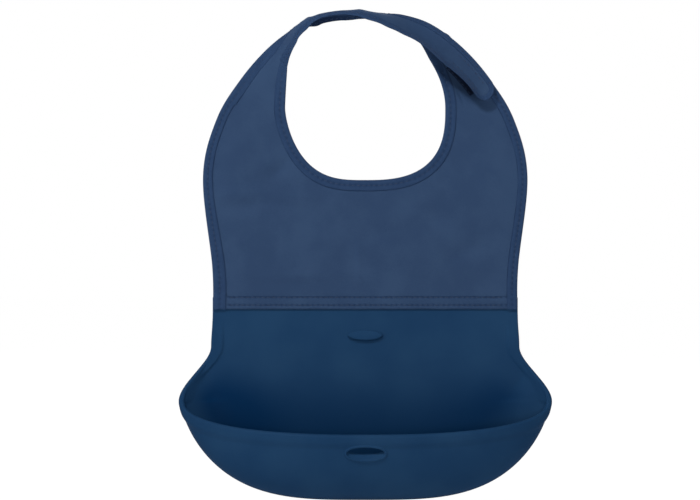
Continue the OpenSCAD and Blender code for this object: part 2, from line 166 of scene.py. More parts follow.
def gridFaces(rows, cols, first=0):
    faces = []
    for i in range(rows - 1):
        for j in range(cols - 1):
            a = first + i * cols + j
            faces.append((a, a + 1, a + cols + 1, a + cols))
    return faces


def slabFaces(rows, cols):  # front grid, back grid and the border between them
    size = rows * cols
    border = list(range(cols))
    border += [i * cols + cols - 1 for i in range(1, rows)]
    border += [(rows - 1) * cols + j for j in range(cols - 2, -1, -1)]
    border += [i * cols for i in range(rows - 2, 0, -1)]
    sides = [(a, b, b + size, a + size) for a, b in zip(border, border[1:] + border[:1])]
    return gridFaces(rows, cols) + gridFaces(rows, cols, size) + sides


def sweepFaces(stations, count):  # closed profile carried along a line, ends closed
    faces = []
    for i in range(stations - 1):
        for j in range(count):
            a = i * count + j
            b = i * count + (j + 1) % count
            faces.append((a, b, b + count, a + count))
    last = (stations - 1) * count
    return faces + [tuple(range(count)), tuple(range(last, last + count))]


# Finishes

class Wire:
    def __init__(self, nodes, socket):
        self.nodes = nodes
        self.socket = socket

    def math(self, operation, first, second):
        return self.nodes.node("ShaderNodeMath", {"operation": operation}, {0: first, 1: second})

    def __add__(self, other):
        return self.math("ADD", self, other)

    def __radd__(self, other):
        return self.math("ADD", other, self)

    def __sub__(self, other):
        return self.math("SUBTRACT", self, other)

    def __rsub__(self, other):
        return self.math("SUBTRACT", other, self)

    def __mul__(self, other):
        return self.math("MULTIPLY", self, other)

    def __rmul__(self, other):
        return self.math("MULTIPLY", other, self)


class Nodes:
    def __init__(self, tree):
        self.tree = tree

    def feed(self, node, inputs):
        for key, value in inputs.items():
            if isinstance(value, Wire):
                self.tree.links.new(value.socket, node.inputs[key])
            else:
                node.inputs[key].default_value = value

    def node(self, kind, settings, inputs, output=0):
        made = self.tree.nodes.new(kind)
        for key, value in settings.items():
            setattr(made, key, value)
        self.feed(made, inputs)
        return Wire(self, made.outputs[output])

    def seenBy(self, ray):  # 1 for that kind of ray
        return self.node("ShaderNodeLightPath", {}, {}, "Is " + ray + " Ray")


class Finish(Nodes):
    def __init__(self, name, constants):
        self.material = bpy.data.materials.new(name)
        self.material.use_nodes = True
        super().__init__(self.material.node_tree)
        self.shader = self.tree.nodes["Principled BSDF"]
        self.feed(self.shader, constants)

    def place(self):  # object coordinates, in metres
        return self.node("ShaderNodeTexCoord", {}, {}, "Object")

    def grain(self, where, size, detail=2.0, rough=0.5):  # noise with features of size mm
        return self.node("ShaderNodeTexNoise", {}, {
            "Vector": where, "Scale": 1 / (size * mm), "Detail": detail, "Roughness": rough})

    def threads(self, where, pitch, axis):  # fine ridges across an axis
        return self.node("ShaderNodeTexWave", {"bands_direction": axis}, {
            "Vector": where, "Scale": math.pi / 10 / (pitch * mm),
            "Distortion": 0.6, "Detail": 1.0, "Detail Scale": 0.4})

    def between(self, value, low, high):  # 0 at low, 1 at high
        return self.node("ShaderNodeMapRange", {"interpolation_type": "SMOOTHSTEP"}, {
            "Value": value, "From Min": low, "From Max": high})

    # share of painted shade, read from the mark attribute
    def mark(self):
        return self.node("ShaderNodeAttribute", {"attribute_name": "mark"}, {}, "Fac")

    def tint(self, share, first, second):
        return self.node("ShaderNodeMix", {"data_type": "RGBA"}, {
            0: share, 6: self.colour(first), 7: self.colour(second)}, 2)

    def colour(self, value):
        return value if isinstance(value, Wire) else (*value, 1.0)

    def bumped(self, height, strength, depth):
        return self.node("ShaderNodeBump", {}, {
            "Height": height, "Strength": strength, "Distance": depth * mm})


sheenTint = (0.35, 0.5, 0.9, 1)
# The darkest colour of the cloth, binding and silicone looks is painted shade, laid on by the mark
# attribute.
clothLook = dict(base=(0.0245, 0.0515, 0.114), faded=(0.031, 0.0625, 0.131), paintedShade=(0.012, 0.03, 0.077),
                 roughness=0.62, weave=0.55)
bindingLook = dict(base=(0.019, 0.043, 0.103), faded=(0.025, 0.053, 0.12), paintedShade=(0.005, 0.015, 0.046),
                   roughness=0.7, rib=0.7)
siliconeLook = dict(base=(0.0098, 0.0405, 0.1025), bloom=(0.0148, 0.0515, 0.119),
                    pocketShade=(0.0012, 0.023, 0.077), roughness=0.5, specular=0.035)
threadLook = dict(base=(0.026, 0.054, 0.118), dark=(0.008, 0.02, 0.056), roughness=0.75)
tapeLook = dict(base=(0.007, 0.016, 0.045), dark=(0.003, 0.008, 0.024), roughness=0.7)


def clothFinish():
    look = clothLook
    made = Finish("coatedCloth", {
        "Specular IOR Level": 0.05, "Sheen Weight": 0.06, "Sheen Roughness": 0.6, "Sheen Tint": sheenTint})
    where = made.place()
    cloudy = made.grain(where, 26, detail=3.0, rough=0.55)
    fine = made.grain(where, 0.9)
    wearAndShade = made.between(cloudy * 0.75 + fine * 0.25, 0.38, 0.64)
    weave = made.threads(where, look["weave"], "X") * made.threads(where, look["weave"], "Z")
    flat = made.tint(wearAndShade, look["base"], look["faded"])
    made.feed(made.shader, {
        "Base Color": made.tint(made.mark(), flat, look["paintedShade"]),
        "Roughness": look["roughness"] + wearAndShade * 0.08 - weave * 0.06,
        "Normal": made.bumped(weave * 0.5 + fine * 0.5, strength=0.16, depth=0.12)})
    return made


def bindingFinish():
    look = bindingLook
    made = Finish("bindingTape", {
        "Specular IOR Level": 0.05, "Sheen Weight": 0.1, "Sheen Roughness": 0.5, "Sheen Tint": sheenTint})
    where = made.place()
    cloudy = made.grain(where, 9, detail=3.0, rough=0.6)
    specks = made.grain(where, 1.1)
    ribs = made.threads(where, look["rib"], "DIAGONAL")
    wearAndShade = made.between(cloudy * 0.45 + specks * 0.35 + ribs * 0.2, 0.36, 0.64)
    flat = made.tint(wearAndShade, look["base"], look["faded"])
    made.feed(made.shader, {
        "Base Color": made.tint(made.mark(), flat, look["paintedShade"]),
        "Roughness": look["roughness"] + wearAndShade * 0.1,
        "Normal": made.bumped(ribs * 0.6 + cloudy * 0.4, strength=0.22, depth=0.16)})
    return made


def siliconeFinish():
    look = siliconeLook
    made = Finish("softSilicone", {"Specular IOR Level": look["specular"], "IOR": 1.41})
    where = made.place()
    cloudy = made.grain(where, 42, detail=3.0, rough=0.5)
    skin = made.grain(where, 0.5, detail=3.0, rough=0.6)
    dust = made.between(made.grain(where, 1.7, detail=4.0, rough=0.7), 0.62, 0.74)
    bloom = made.between(cloudy * 0.85 + skin * 0.15, 0.36, 0.66)
    flat = made.tint(bloom * 0.8 + dust * 0.2, look["base"], look["bloom"])
    made.feed(made.shader, {
        "Base Color": made.tint(made.mark(), flat, look["pocketShade"]),
        "Roughness": look["roughness"] + bloom * 0.06 + dust * 0.1,
        "Normal": made.bumped(skin, strength=0.1, depth=0.08)})
    return made


def threadFinish():
    look = threadLook
    made = Finish("sewingThread", {
        "Specular IOR Level": 0.25, "Sheen Weight": 0.15, "Sheen Roughness": 0.4})
    where = made.place()
    twist = made.threads(where, 0.35, "DIAGONAL")
    made.feed(made.shader, {
        "Base Color": made.tint(twist, look["dark"], look["base"]),
        "Roughness": look["roughness"] - twist * 0.15,
        "Normal": made.bumped(twist, strength=0.4, depth=0.1)})
    return made


def tapeFinish(name, size):
    look = tapeLook
    made = Finish(name, {"Specular IOR Level": 0.08, "Sheen Weight": 0.03})
    where = made.place()
    fuzz = made.grain(where, size, detail=4.0, rough=0.65)
    share = made.between(fuzz, 0.35, 0.65)
    made.feed(made.shader, {
        "Base Color": made.tint(share, look["dark"], look["base"]),
        "Roughness": look["roughness"] + share * 0.2,
        "Normal": made.bumped(fuzz, strength=0.5, depth=0.25)})
    return made


clothSkin = clothFinish()
bindingSkin = bindingFinish()
siliconeSkin = siliconeFinish()
threadSkin = threadFinish()
hookSkin = tapeFinish("hookNylon", 0.5)
loopSkin = tapeFinish("loopPile", 0.8)
print("finishes made")


# Outline of the cloth, drawn in X and Z

yoke = dict(neckWidth=104, neckDrop=47, neckRise=57, neckMid=-5, hemWidth=198, chestWidth=211, chestDrop=50,
            drop=136, fold=127.6, thick=0.8, edgeInset=1.0, sink=(59, 15, 23, 6.5, -39, 6.5))
halfNeck = yoke["neckWidth"] / 2
neckTop = yoke["neckMid"] + yoke["neckRise"]
sideEdge = [Vector(p) for p in (
    (yoke["hemWidth"] / 2, -yoke["drop"]),
    (yoke["hemWidth"] / 2 + 0.5, -yoke["drop"] + 28),
    (yoke["chestWidth"] / 2, -yoke["chestDrop"]),
    (yoke["chestWidth"] / 2 - 8.8, neckTop - 64.6),
    (halfNeck + 28.6, neckTop - 38),
    (halfNeck + 11, neckTop - 18))]
crown = [Vector((x, neckTop + rise)) for x, rise in (
    (-48.5, -7.2), (-42, -4.9), (-35.5, -3.7), (-28, 0.2), (-16, 2.2), (-6, 1.6),
    (1, 1.3), (11, 3.3), (25, 2.9), (halfNeck - 8.8, -3.2))]
edgeSteps = 24
loopPoints = [Vector((-p.x, p.y)) for p in sideEdge] + crown + sideEdge[::-1]
loopLine = spline(loopPoints, edgeSteps)
cutIndex = 5 * edgeSteps  # where the strap starts on the left arm
strapLast = (len(loopPoints) - 5) * edgeSteps + 9  # where it ends on the right arm
tipIndex = len(loopLine) - 1 - cutIndex - 9  # where the right edge starts under it
cutOut = loopLine[cutIndex]
cutAlong = (loopLine[cutIndex + 1] - loopLine[cutIndex - 1]).normalized()
cutDir = Vector((cutAlong.y, -cutAlong.x))


# Roundness of the neck edge, across and up, on its four quarters from the top left round the neckline
neckRound = [(3.5, 3.5), (3.1, 1.6), (2.75, 2.75), (1.85, 1.85)]


def neckAt(angle):  # 180 is the left side, 270 the neckline, 360 the right side
    across, up = neckRound[int(angle / 90) - 1]
    c = math.cos(math.radians(angle))
    s = math.sin(math.radians(angle))
    height = yoke["neckRise"] if s > 0 else yoke["neckDrop"]
    z = yoke["neckMid"] + height * signedPower(s, 2 / up)
    return Vector((halfNeck * signedPower(c, 2 / across), z))


def cutAngle():  # where the cut across the left arm meets the neck edge
    low, high = 138.0, 180.0
    for _ in range(40):
        middle = (low + high) / 2
        if (neckAt(middle) - cutOut).dot(cutAlong) > 0:
            low = middle
        else:
            high = middle
    return high


def smoothed(points, centre, reach, passes):
    points = [p.copy() for p in points]
    near = [i for i in range(1, len(points) - 1) if (points[i] - centre).length < reach]
    for _ in range(passes):
        moved = {i: (points[i - 1] + points[i] * 2 + points[i + 1]) / 4 for i in near}
        for i, p in moved.items():
            points[i] = p
    return points


tipAngle = 409
tipEnd = neckAt(tipAngle)
tipIn = tipEnd + Vector((1.5, 1.3))
tipOut = loopLine[tipIndex]
tipMid = (tipIn + tipOut) / 2
tipArm = tipIn - tipMid
tipSide = Vector((tipArm.y, -tipArm.x)) * 0.5
tipArc = [tipMid + tipArm * math.cos(a) + tipSide * math.sin(a)
          for a in stops(0, math.pi, 40)[1:-1]]
neckPoints = [neckAt(a) for a in stops(cutAngle(), tipAngle, 700)]
neckStart = neckPoints[0]
cutPull = cutDir * 1.9  # the neck edge is fuller at the cut
tipPull = tipIn - tipEnd  # and steeper at the other end
neckPoints = [p + cutPull * ease((p - neckStart).length, 30, 0)
              + tipPull * ease((p - tipEnd).length, 15, 0) for p in neckPoints]
neckLine = Line(Line(neckPoints).even(), -cutDir)
leftLine = Line(Line(loopLine[:cutIndex + 1]).even())
rightLine = Line(Line(loopLine[tipIndex:]).even())
wholeEdge = Line(neckPoints + tipArc + loopLine[tipIndex:]).even()
roundLine = Line(smoothed(wholeEdge, tipMid, reach=15, passes=30), -cutDir)
armWidth = (neckLine.at(0) - cutOut).dot(cutDir)  # at the cut
print("arm at the cut:", round(armWidth, 2), "mm wide")

# Strap: the end of the left arm, drawn along the loop from the cut to its tip

strap = dict(width=17.5, bindingWidth=3.6, turn=97, lead=28, tapeLength=28, stack=3.2, thick=0.8, lift=8.0,
             peel=2.5, taper=3.2, arch=3.8, archSpan=(0.23, 0.5, 0.8), layer=0.4, puff=0.15)
strapRadius = strap["width"] / 2
strapLead = 6  # steps of the loop before the cut, so that the strap starts in the arm's direction
strapLine = Line(Line(loopLine[cutIndex - strapLead:strapLast + 1]).even())
strapFrom = Line(loopLine[cutIndex - strapLead:cutIndex + 1]).length
strapLength = strapLine.length - strapFrom
tipStart = strapLength - strapRadius
tapeEnd = tipStart
tapeStart = tapeEnd - strap["tapeLength"]
# Shares of the full turn, from a lead before the cut up to the tapes
turnKeys = [0, 0.02, 0.05, 0.11, 0.2, 0.36, 0.52, 0.65, 0.79, 0.98, 1, 1, 1,
            0.95, 0.85, 0.71, 0.58, 0.47, 0.36, 0.27, 0.19, 0.13, 0.08, 0.03, 0]
kinks = [(29, 8, 1.7), (67, 9, 1.3)]  # where the strap curls most: place, reach, height


def turnAt(s):
    k = clamp01((s + strap["lead"]) / (tapeStart + strap["lead"])) * (len(turnKeys) - 1)
    i = min(int(k), len(turnKeys) - 2)
    return math.radians(strap["turn"]) * clamp01(splineAt(turnKeys, i, k - i))


# Soft creases of the chest: middle X, Z, reach along and across, turn, height towards the front
creases = [
    (-57, -46, 9, 5, 42, -1.3), (-82, -40, 12, 20, -12, 1.5), (-80, -61, 22, 4.5, 8, 0.8),
    (-77, -69, 12, 4, 4, -0.7), (-44, -63, 22, 4.5, -6, 0.9), (-48, -115, 32, 3.2, 1, 0.55),
    (-4, -103, 2.6, 20, 0, 0.4), (64, -99, 14, 6, 28, -1.0), (46, -76, 10, 5, -20, -0.6),
    (82, -54, 12, 22, 14, 1.2), (50, -45, 9, 5, -45, -1.0), (20, -84, 26, 5, 12, -0.5),
    (58, 6, 7, 1.3, -58, 0.5), (62, 2, 6, 1.2, -66, -0.4), (-20, -92, 20, 8, -30, 0.5)]


def spot(x, z, cx, cz, reach, width, turn):  # squared distance from a turned oval's middle, 1 on its edge
    a = math.radians(turn)
    u = ((x - cx) * math.cos(a) + (z - cz) * math.sin(a)) / reach
    v = ((z - cz) * math.cos(a) - (x - cx) * math.sin(a)) / width
    return u * u + v * v


def creased(x, z):  # height of the cloth towards the front
    height = 0.75 * noise.noise(Vector((x / 58, z / 58, 3.1)))
    height += 0.22 * noise.noise(Vector((x / 21, z / 21, 7.7)))
    for *place, rise in creases:
        far = spot(x, z, *place)
        if far < 9:
            height += rise * math.exp(-far)
    sewn = ease(z + yoke["fold"], 0, 15)
    atCut = ease((Vector((x, z)) - cutOut).dot(cutAlong), 0, -22) if x < 0 else 1
    underStrap = ease(z, 16, 2) if x > 40 else 1
    *place, depth = yoke["sink"]  # the right arm sinks back below the free edge of the strap
    return height * sewn * atCut * underStrap - depth * math.exp(-spot(x, z, *place))


def onCloth(p, depth):
    depth -= creased(p.x, p.y)
    along = (p - cutOut).dot(cutAlong)
    if p.x > -36 or along < -strap["lead"]:
        return Vector((p.x, depth, p.y))
    across = (p - cutOut).dot(cutDir)  # the left arm starts to turn before the cut
    turn = turnAt(along)
    flat = cutOut + cutAlong * along + cutDir * (across * math.cos(turn) + depth * math.sin(turn))
    return Vector((flat.x, depth * math.cos(turn) - across * math.sin(turn), flat.y))


# Cloth of the chest and both arms, from the neck edge out to the side edges and the hem

def yokeCloth():
    inset = yoke["edgeInset"]
    steps = (80, 170, 80)
    rows = 64
    bottom = -yoke["fold"] - 0.5
    turns = [0, 0.29, 0.71, 1]  # shares of the neck edge: left side, hem, right side
    inner = []
    for part, count in enumerate(steps):
        inner += [mix(turns[part], turns[part + 1], i / count) for i in range(count)]
    inner = [neckLine.inside(k * neckLine.length, inset) for k in inner + [1]]
    sewn = yoke["drop"] - yoke["fold"]  # length of each side below the fold
    left = [leftLine.inside(s, inset) for s in stops(leftLine.length, sewn, steps[0])]
    right = [rightLine.inside(s, inset) for s in stops(rightLine.length - sewn, 0, steps[2])]
    low = [Vector((x, bottom)) for x in stops(left[-1].x, right[0].x, steps[1])]
    outer = left[:-1] + low[:-1] + right
    points = []
    last = len(inner) - 1
    tipSteps = 24
    tipShare = (tipArm.length - inset) / tipArm.length
    for depth in (-yoke["thick"] / 2, yoke["thick"] / 2):
        for i, (a, b) in enumerate(zip(inner, outer)):
            atTip = ease(i, last - tipSteps, last)
            for j in range(rows + 1):
                v = j / rows
                bulge = math.sqrt(max(0, 1 - (2 * v - 1) ** 2))
                points.append(onCloth(mix(a, b, v) + tipSide * (tipShare * atTip * bulge), depth))
    piece = makeMesh("yokeCloth", points, slabFaces(len(inner), rows + 1), clothSkin)
    return bendAtHem(piece, "yoke_panel")


# Folded binding along an edge

binding = dict(width=6.4, neck=7.3, wide=8.7, right=7.0, layer=0.45, puff=0.2, tuck=0.14, step=0.7)
stitch = dict(length=2.3, pitch=3.4, thick=0.45, sides=6, rings=6)


def bindingProfile(width, half, layer, puff):  # distance from the edge, depth, stitched share, share of painted shade along the inner border
    top = half + layer
    front = [(1.0, half + 0.02, 0, 1), (0.985, half + 0.6 * layer, 0, 0.85), (0.955, top, 0, 0.35),
             (0.88, top + puff, 0, 0), (0.72, top + puff, 0.2, 0), (0.58, top + 0.3 * puff, 0.8, 0),
             (0.5, top, 1, 0.2), (0.42, top + 0.3 * puff, 0.8, 0), (0.27, top + 0.9 * puff, 0.2, 0),
             (0.13, top + 0.3 * puff, 0, 0), (0.05, 0.72 * top, 0, 0), (0.0, 0, 0, 0)]
    shape = [(d * width, -y, share, dark) for d, y, share, dark in front]
    shape += [(d * width, y, share, dark) for d, y, share, dark in front[-2::-1]]
    return shape + [(0.12 * width, half + 0.01, 0, 1), (0.12 * width, -half - 0.01, 0, 1)]


def needleWave(s):  # 1 at each needle hole, 0 half way to the next
    return 0.5 + 0.5 * math.cos(2 * math.pi * s / stitch["pitch"])


def puckered(s, share):  # the cloth is drawn in at each needle hole
    return share * binding["tuck"] * needleWave(s)


def holeShadeShare(s, share):  # painted shade in the needle holes
    return 0.9 * max(0, share - 0.2) * needleWave(s) ** 1.5


def bindingWidth(p):  # wider round the neck and down the left side
    if -90 < p.x < 60:
        return mix(binding["neck"], binding["width"], ease(p.y, 5, 30))
    low = binding["wide"] if p.x < 0 else binding["right"]
    return mix(binding["width"], low, ease(p.y, -45, -125))


def plainness(p):  # the binding shows less towards the strap
    if p.x < 5 - halfNeck - binding["neck"]:
        return ease(p.y, -2, 16)
    return ease(p.y, 2, 26) if p.x < 0 else 0.7 * ease(p.y, 12, 32)


def sewnDepth(p):  # depth of the threads on the binding
    plain = plainness(p)
    return yoke["thick"] / 2 + binding["layer"] * (1 - 0.6 * plain) - binding["tuck"] * (1 + plain)


# Painted shade along the inner border of the binding: uneven, twice as strong on the right side and fainter
# towards the strap.
def creaseShadeShare(p):
    wearAndShade = 0.4 + 0.5 * noise.noise(Vector((p.x / 11, p.y / 11, 5.5)))
    wearAndShade *= 1 + ease(p.x, 60, 70)
    return clamp01(wearAndShade * (1 - 0.85 * plainness(p)))


def edgeBinding(name, line, nodes):
    count = round(line.length / binding["step"])
    points = []
    marks = []
    for s in stops(0, line.length, count):
        at = line.at(s)
        flat = 1 - 0.6 * plainness(at)
        layer, puff = binding["layer"] * flat, binding["puff"] * flat
        shape = bindingProfile(bindingWidth(at), yoke["thick"] / 2, layer, puff)
        for d, depth, share, dark in shape:
            p = line.inside(s, d)
            depth -= math.copysign(puckered(s, share), depth)
            atHem = ease(p.y, 3 - yoke["fold"], -yoke["fold"])
            if depth < 0:
                depth -= 0.45 * atHem
            else:
                depth = mix(depth, min(depth, 0.38), atHem)
            points.append(onCloth(p, depth))
            # Painted shade in the needle holes, and along the inner border of the binding.
            holeShade = 0.45 * holeShadeShare(s, share) * (1 - plainness(p))
            marks.append(clamp01(dark * creaseShadeShare(p) + holeShade))
    faces = sweepFaces(count + 1, len(shape))
    piece = makeMesh(name, points, faces, bindingSkin, sharp=70, marks=marks)
    return bendAtHem(piece, *nodes)


# Stitches: each is a short thread that dips into the cloth at both ends

def stitchTubes(name, places, dip=0.3):  # places: middle, direction along, direction out
    points = []
    faces = []
    radius = stitch["thick"] / 2
    sides, rings = stitch["sides"], stitch["rings"]
    for middle, along, out in places:
        along = along.normalized()
        out = (out - along * out.dot(along)).normalized()
        across = along.cross(out)
        first = len(points)
        for i in range(rings + 1):
            t = 2 * i / rings - 1
            centre = middle + along * (t * stitch["length"] / 2) + out * (radius * 0.7 - dip * t ** 4)
            r = radius * (1 - 0.45 * t ** 6)
            for j in range(sides):
                a = 2 * math.pi * j / sides
                points.append(centre + (across * math.cos(a) + out * math.sin(a)) * r)
        faces += [tuple(first + n for n in face) for face in sweepFaces(rings + 1, sides)]
    return makeMesh(name, points, faces, threadSkin)


def rowPlaces(line, before, after):  # along the middle of a binding, on both sides of the cloth
    count = math.floor((line.length - before - after) / stitch["pitch"])
    places = []
    for i in range(count):
        s = before + stitch["pitch"] * (i + 0.5)
        at = line.at(s)
        t = line.direction(s)
        for side in (-1, 1):
            p = onCloth(line.inside(s, bindingWidth(at) / 2), side * sewnDepth(at))
            places.append((p, Vector((t.x, 0, t.y)), Vector((0, side, 0))))
    return places


# Hem: the turned-up lower edge of the cloth, sewn to the silicone with two rows

hemReach = yoke["hemWidth"] / 2 - binding["wide"] - 0.8
hemFirst = 2 * hemReach % stitch["pitch"] / 2  # so that the rows end evenly
hem = dict(top=127.55, bottom=136.0, rowTop=128.3, rowSeam=133.3, front=0.86, back=0.38, puff=0.14,
           groove=0.16, step=0.68)


def hemBand():
    half = yoke["hemWidth"] / 2 - 1.2
    count = round(2 * half / hem["step"])
    zs = [hem["top"] + d for d in (0, 0.1, 0.35)]
    zs += [hem["rowTop"] + d for d in (-0.5, 0, 0.5, 1.3)] + [(hem["rowTop"] + hem["rowSeam"]) / 2]
    zs += [hem["rowSeam"] + d for d in (-1.2, -0.5, 0, 0.5, 1.2)]
    zs += [hem["bottom"] + d for d in (-0.7, -0.2)]
    points = []
    marks = []
    for x in stops(-half, half, count):
        run = x + hemReach - hemFirst
        tuck = needleWave(run)
        wave = 0.12 * noise.noise(Vector((x / 9, 0, 2.2))) + 0.1 * tuck
        ring = []
        for i, z in enumerate(zs):
            row = min(abs(z - hem["rowTop"]), abs(z - hem["rowSeam"]))
            edge = clamp01((z - hem["top"]) / 0.35) * clamp01((hem["bottom"] - z) / 0.7) ** 0.5
            y = mix(0.42, hem["front"] + hem["puff"] * ease(row, 0, 1.2), edge)
            y -= hem["groove"] * ease(row, 0.6, 0) * (0.5 + 0.5 * tuck)
            low = wave * ease(z - hem["rowSeam"], 0, 2)
            ring.append((x, -y, -z - low + 0.1 * ease(hem["bottom"] - z, 0, 8)))
            speck = 0.3 * noise.noise(Vector((x / 1.3, z / 1.3, 8.8)))
            dark = clamp01(holeShadeShare(run, 1.3 - row / 1.2) + speck)
            marks.append((1.0, 0.45)[i] if i < 2 else dark)  # painted shade: darkest along the upper fold edge, then in the needle holes, with random specks
        ring += [(x, -0.1, -hem["bottom"] - wave), (x, hem["back"], -hem["bottom"] + 0.1),
                 (x, hem["back"], -hem["top"])]
        # painted shade on the turned-under bottom and the back of the band
        marks += [0.5, 1.0, 1.0]
        points += ring
    faces = sweepFaces(count + 1, len(zs) + 3)
    piece = makeMesh("hemBand", points, faces, clothSkin, sharp=70, marks=marks)
    return carried(piece, "pocket", "bottom_hem")


def hemRow(name, z, node):
    places = []
    for i in range(math.floor(2 * hemReach / stitch["pitch"])):
        x = hemFirst - hemReach + stitch["pitch"] * (i + 0.5)
        for y, out in ((-hem["front"], -1), (pocket["back"], 1)):
            places.append((Vector((x, y, -z)), Vector((1, 0, 0)), Vector((0, out, 0))))
    return carried(stitchTubes(name, places), "pocket", node)


# Strap: the end of the left arm turns on edge over the neck and lies flat on the right arm

def strapFrame(s):  # middle, direction to the outer edge, direction to the back
    at = strapLine.at(strapFrom + s)
    t = strapLine.direction(strapFrom + s, 4)
    turn = turnAt(s)
    out = Vector((-t.y, 0, t.x))
    rear = Vector((0, 1, 0))
    across = out * math.cos(turn) + rear * math.sin(turn)
    back = rear * math.cos(turn) - out * math.sin(turn)
    front = -strap["stack"] * ease(s, tapeStart / 2, tapeStart)
    past = -math.cos(turn)  # beyond upright the inner edge would stand higher, so the strap sinks
    edge = Vector((at.x, front, at.y)) - out * strap["width"] * (past + math.hypot(past, 0.08)) / 2
    return edge - across * strapRadius, across, back


def strapBow(s, c):  # how far the strap bows to the front at c from its middle
    k = s / tapeStart
    grown, full, flat = strap["archSpan"]
    arch = strap["arch"] * ease(k, 0, grown) * ease(k, flat, full)
    arch += sum(rise * math.exp(-((s - at) / reach) ** 2) for at, reach, rise in kinks)
    arch *= 1 - (c / strapRadius) ** 2
    # The inner edge lifts ahead of the tapes and settles towards the tip
    free = ease(s - tapeStart, -58, -6) * (1 - 0.6 * ease(s - tapeEnd, -8, 8))
    peeled = strap["peel"] * ease(s - tapeEnd, 0, strapRadius)
    return arch + peeled + strap["lift"] * free * clamp01((-c - 2) / (strapRadius - 2)) ** 1.5


def innerShare(s):  # the inner side starts at the edge of the arm and tapers to the tip
    start = mix(1, 2 * armWidth / strap["width"] - 1, (1 - clamp01(s / 12)) ** 2)
    return start * (1 - strap["taper"] / strapRadius * ease(s - tapeStart, -16, 28))


def onStrap(s, c, depth):
    middle, across, back = strapFrame(s)
    depth -= strapBow(s, c)
    c *= innerShare(s) if c < 0 else 1
    return middle + across * c + back * depth


def reverseShadeShare(s):  # painted shade on the reverse of the cloth, darkest where it turns over the neck and starts to show
    return ease(s, 0, 24) * (1 - 0.5 * ease(s, 42, 64))


def strapCloth():
    rows = 240
    cols = 20
    inset = yoke["edgeInset"]
    points = []
    marks = []
    for depth in (-strap["thick"] / 2, strap["thick"] / 2):
        for s in stops(0, strapLength - inset, rows):
            past = max(0, s - tipStart)
            half = math.sqrt(max(0.04, (strapRadius - inset) ** 2 - past * past))
            points += [onStrap(s, c, depth) for c in stops(-half, half, cols)]
            # painted shade on the back face of the strap
            marks += [0.0 if depth < 0 else reverseShadeShare(s)] * (cols + 1)
    return makeMesh("strapCloth", points, slabFaces(rows + 1, cols + 1), clothSkin, marks=marks)


def strapEdge():  # along the outer side, round the tip and back: s, c, direction inwards
    count = round(tipStart / binding["step"])
    edge = [(s, strapRadius, 0, -1) for s in stops(0, tipStart, count)]
    for a in stops(math.pi / 2, -math.pi / 2, 26)[1:-1]:
        c, s = math.cos(a), math.sin(a)
        edge.append((tipStart + strapRadius * c, strapRadius * s, -c, -s))
    return edge + [(s, -strapRadius, 0, 1) for s in stops(tipStart, 0, count)]


def strapLayer(s):  # the binding shows less beside the arm
    return mix(0.4 * binding["layer"], strap["layer"], ease(s, 60, 100))


def strapBinding():
    edge = strapEdge()
    points = []
    marks = []
    run = 0.0
    before = None
    for s, c, ds, dc in edge:
        here = onStrap(s, c, 0)
        run += (here - before).length if before else 0
        before = here
        width = mix(binding["width"], strap["bindingWidth"], ease(s, 0, 30))
        shape = bindingProfile(width, strap["thick"] / 2, strapLayer(s), 0.4 * strap["puff"])
        for d, depth, share, dark in shape:
            depth -= math.copysign(puckered(run, share), depth)
            points.append(onStrap(s + ds * d, c + dc * d, depth))
            # painted shade on the reverse, along the inner border and in the needle holes
            reverseShade = 0.9 * reverseShadeShare(s) if depth > 0 else 0
            marks.append(clamp01(0.25 * dark + 0.25 * holeShadeShare(run, share) + reverseShade))
    faces = sweepFaces(len(edge), len(shape))
    return makeMesh("strapBinding", points, faces, bindingSkin, sharp=70, marks=marks)


def strapRowPlaces(first, last, c, depth, both=True):
    count = math.floor((last - first) / stitch["pitch"])
    places = []
    for i in range(count):
        s = mix(first, last, (i + 0.5) / count)
        along = onStrap(s + 0.8, c, 0) - onStrap(s - 0.8, c, 0)
        across = onStrap(s, c + 0.4, 0) - onStrap(s, c - 0.4, 0)
        out = across.cross(along).normalized()
        if out.dot(strapFrame(s)[2]) < 0:
            out = -out
        layer = strapLayer(s) if both else 0
        for side in (-1, 1) if both else (-1,):
            places.append((onStrap(s, c, side * (depth + layer)), along, out * side))
    return places


def strapStitches():
    places = []
    for side in (-1, 1):
        c = side * (strapRadius - strap["bindingWidth"] / 2)
        places += strapRowPlaces(3, tapeEnd + 2, c, strap["thick"] / 2 - binding["tuck"])
    return stitchTubes("strapStitches", places)


def bendWithStrap(piece, *nodes):
    start = cutOut + cutDir * strapRadius
    end = start + cutAlong * 15  # 15 mm along the cut; start and end are not used
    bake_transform(piece)
    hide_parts(*nodes)
    return piece


# Tapes: rows of small hooks under the strap's end, and a pile of loops on the right arm

tape = dict(hookWidth=8.4, loopWidth=10.0, base=0.35, height=0.45, wire=0.13, seat=0.03, sewn=0.7,
            hookPitch=(1.05, 1.05), loopPitch=(0.95, 0.85), hookReach=0.22, loopReach=0.42)
hookSpan = (tapeStart + 0.6, tapeEnd - 0.6)


def wireTube(points, faces, path, radius, sides=4):
    first = len(points)
    for i, p in enumerate(path):
        t = (path[min(i + 1, len(path) - 1)] - path[max(i - 1, 0)]).normalized()
        a = t.orthogonal().normalized()
        b = t.cross(a)
        points += [p + (a * math.cos(n * math.tau / sides) + b * math.sin(n * math.tau / sides)) * radius
                   for n in range(sides)]
    faces += [tuple(first + n for n in face) for face in sweepFaces(len(path), sides)]


def tapeBase(points, faces, place, width, near, far):  # place(s, c, depth)
    rows, cols = 40, 10
    first = len(points)
    for depth in (near, far):
        for s in stops(*hookSpan, rows):
            points += [place(s, c, depth) for c in stops(-width / 2, width / 2, cols)]
    faces += [tuple(first + n for n in face) for face in slabFaces(rows + 1, cols + 1)]


